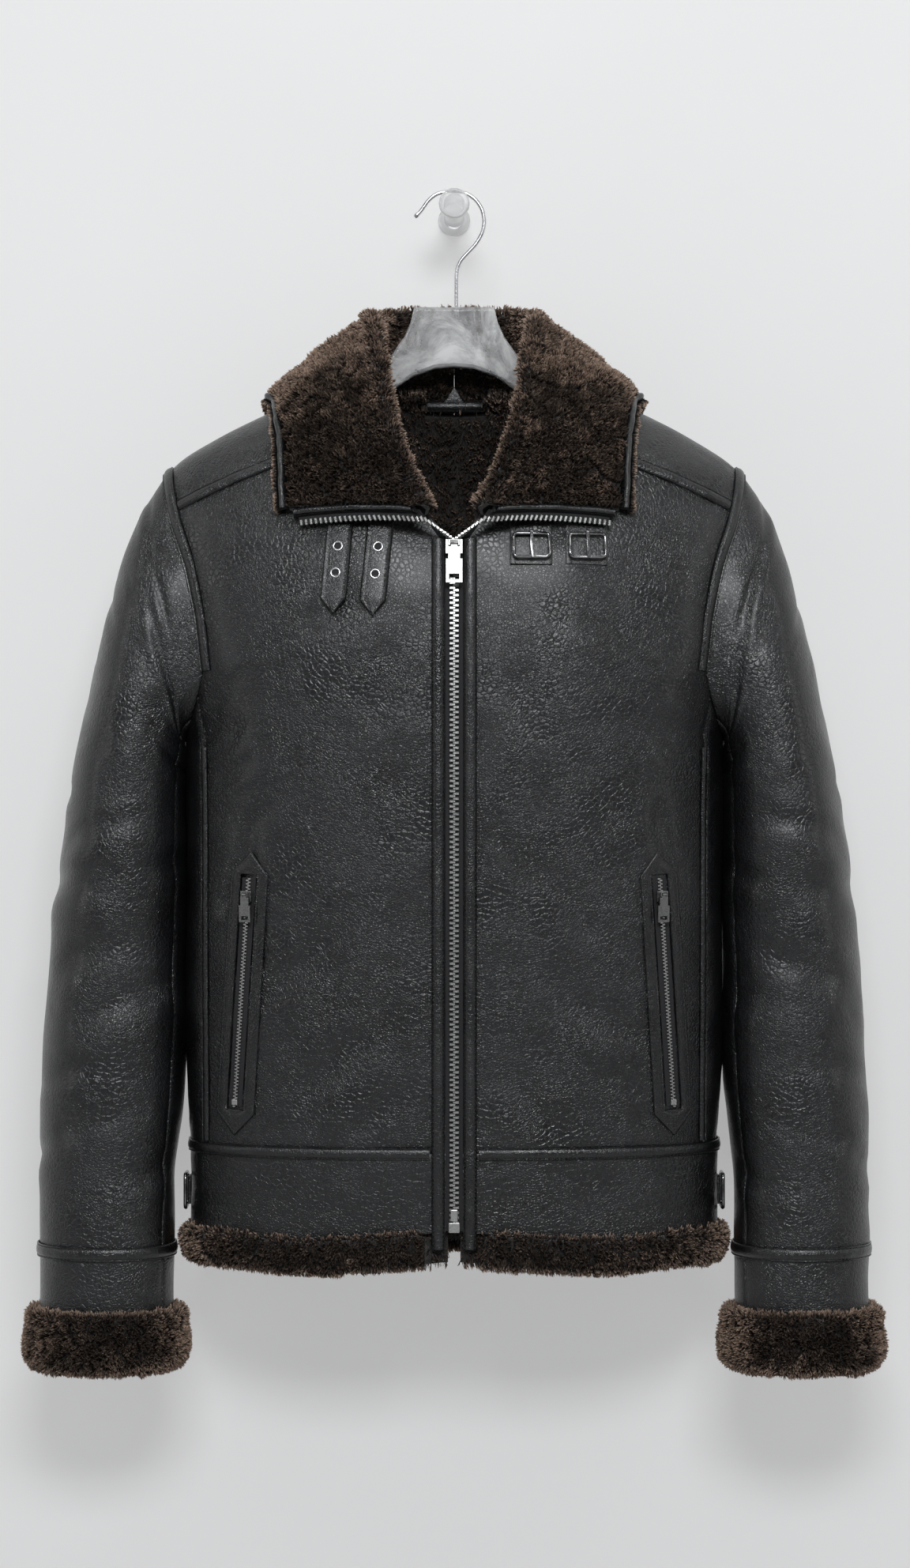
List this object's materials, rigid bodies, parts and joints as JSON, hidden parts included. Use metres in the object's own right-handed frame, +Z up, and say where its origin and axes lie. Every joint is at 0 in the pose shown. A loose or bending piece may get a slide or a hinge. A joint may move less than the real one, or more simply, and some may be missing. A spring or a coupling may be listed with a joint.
{
  "type": "sheepskin flying jacket",
  "caption": "Black sheepskin flying jacket with a dark brown fur collar, hem and cuffs, hung on a clear hanger from a wall peg.",
  "frame": {"origin": "centre of the wall peg's flat back face", "axes": "+X to the viewer's right, +Y into the wall, +Z up"},
  "size_m": [0.6454, 0.216, 0.8928],
  "materials": {
    "leather": "satin, pebble-grained",
    "trim": "satin, smooth",
    "fur": "matte, clipped fur",
    "nickel": "bright plated",
    "dark_metal": "gloss black nickel",
    "acrylic": "clear gloss",
    "steel": "satin"
  },
  "bodies": {
    "root": {"armhole_strip_left": "trim", "armhole_strip_right": "trim", "back_left": "leather", "back_right": "leather", "buckle_frame_inner": "dark_metal", "buckle_frame_outer": "dark_metal", "buckle_tab_inner": "trim", "buckle_tab_outer": "trim", "collar_binding_left": "trim", "collar_binding_right": "trim", "collar_facing_left": "trim", "collar_facing_right": "trim", "collar_left": "fur", "collar_right": "fur", "collar_strap_inner": "trim", "collar_strap_outer": "trim", "cuff_fur_left": "fur", "cuff_fur_right": "fur", "cuff_strip_left": "trim", "cuff_strip_right": "trim", "front_left": "leather", "front_right": "leather", "hanger_body": "acrylic", "hanger_hook": "steel", "hem_fur": "fur", "neck_loop": "trim", "placket_left": "trim", "placket_right": "trim", "pocket_slider_left": "nickel", "pocket_slider_right": "nickel", "pocket_welt_left": "trim", "pocket_welt_right": "trim", "pocket_zip_left": "nickel", "pocket_zip_right": "nickel", "side_buckle_left": "dark_metal", "side_buckle_right": "dark_metal", "side_strap_left": "trim", "side_strap_right": "trim", "side_strip_left": "trim", "side_strip_right": "trim", "sleeve_top_left": "leather", "sleeve_top_right": "leather", "sleeve_under_left": "leather", "sleeve_under_right": "leather", "waist_strip_left": "trim", "waist_strip_right": "trim", "waistband": "leather", "wall_peg": "acrylic", "yoke_left": "leather", "yoke_right": "leather", "yoke_strip_left": "trim", "yoke_strip_right": "trim", "zip_left": "nickel", "zip_right": "nickel", "zip_slider": "nickel"},
    "zip_pull": {"zip_pull": "nickel"},
    "pocket_pull_left": {"pocket_pull_left": "nickel"},
    "pocket_pull_right": {"pocket_pull_right": "nickel"},
    "buckle_prong_inner": {"buckle_prong_inner": "dark_metal"},
    "buckle_prong_outer": {"buckle_prong_outer": "dark_metal"}
  },
  "joints": [
    {"name": "zip_pull_swing", "type": "hinge", "parent": "root", "child": "zip_pull", "pos_m": [0, -0.20078, -0.26487], "axis": [-1, 0, 0], "range_deg": [0, 105]},
    {"name": "pocket_pull_left_swing", "type": "hinge", "parent": "root", "child": "pocket_pull_left", "pos_m": [-0.15386, -0.18027, -0.52157], "axis": [-0.8832, 0.4689, 0], "range_deg": [0, 105]},
    {"name": "pocket_pull_right_swing", "type": "hinge", "parent": "root", "child": "pocket_pull_right", "pos_m": [0.15386, -0.18027, -0.52157], "axis": [-0.8832, -0.4689, 0], "range_deg": [0, 105]},
    {"name": "buckle_prong_inner_swing", "type": "hinge", "parent": "root", "child": "buckle_prong_inner", "pos_m": [0.05626, -0.1977, -0.25764], "axis": [-0.9972, -0.0752, 0], "range_deg": [0, 100]},
    {"name": "buckle_prong_outer_swing", "type": "hinge", "parent": "root", "child": "buckle_prong_outer", "pos_m": [0.09711, -0.1932, -0.25763], "axis": [-0.9864, -0.1645, 0], "range_deg": [0, 100]}
  ]
}
